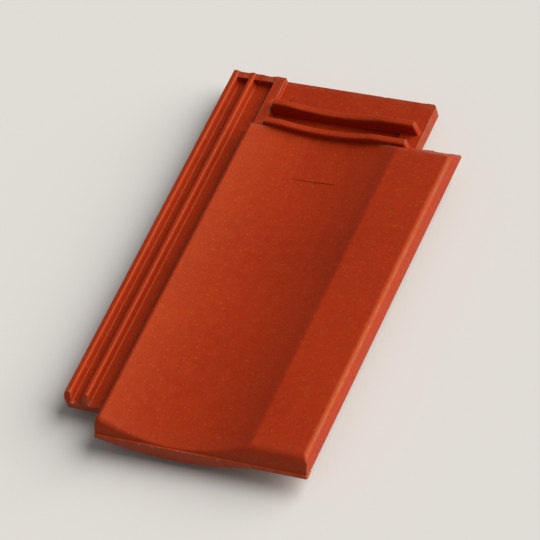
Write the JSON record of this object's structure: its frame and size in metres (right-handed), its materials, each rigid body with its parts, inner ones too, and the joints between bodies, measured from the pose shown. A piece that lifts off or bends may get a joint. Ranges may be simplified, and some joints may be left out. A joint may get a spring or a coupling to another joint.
{
  "type": "clay roof tile",
  "caption": "Interlocking pressed clay roof tile: shallow trough and flat-topped crown, side lock, head lock, rounded foot with a lip, hanging nibs and nail holes.",
  "frame": {"origin": "middle of the bounding box in plan, on the level that the nibs and the foot rib lie on", "axes": "+X across the tile to the covering crown, +Y from the foot up the slope to the head, +Z out of the roof"},
  "size_m": [0.246, 0.418, 0.037],
  "materials": {
    "fired_clay": "satin orange-red engobe on fired clay, fine speckle, small pale chips on the edges"
  },
  "bodies": {
    "root": {"roof_tile": "fired_clay"}
  },
  "joints": []
}
